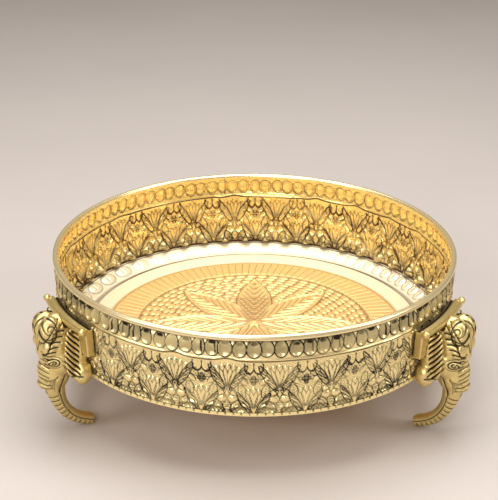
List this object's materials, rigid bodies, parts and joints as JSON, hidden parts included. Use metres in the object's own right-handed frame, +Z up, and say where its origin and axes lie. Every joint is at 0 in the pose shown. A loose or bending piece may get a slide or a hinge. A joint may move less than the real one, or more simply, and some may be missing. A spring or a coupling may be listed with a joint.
{
  "type": "urli bowl",
  "caption": "Wide, shallow embossed brass urli bowl with a rolled rim, standing on cast elephant-head legs whose trunks curl under as feet.",
  "frame": {"origin": "middle of the bowl's floor, on the floor's upper face and on the bowl's axis", "axes": "+Z up along the bowl's axis out of its mouth, -Y towards the front between the two front legs, +Y through the rear leg, +X to the right"},
  "size_m": [0.2884, 0.3044, 0.106],
  "materials": {
    "sheet_brass": "polished embossed sheet brass, dark patina left in the recesses",
    "cast_brass": "satin cast brass, antiqued dark in the engraved lines",
    "brass_wire": "drawn brass wire inside the rolled rim"
  },
  "bodies": {
    "root": {"wall_band": "sheet_brass", "base_pan": "sheet_brass", "rim_wire": "brass_wire", "elephant_leg_rear": "cast_brass", "elephant_leg_left": "cast_brass", "elephant_leg_right": "cast_brass", "leg_saddle_rear": "cast_brass", "leg_saddle_left": "cast_brass", "leg_saddle_right": "cast_brass"}
  },
  "joints": []
}
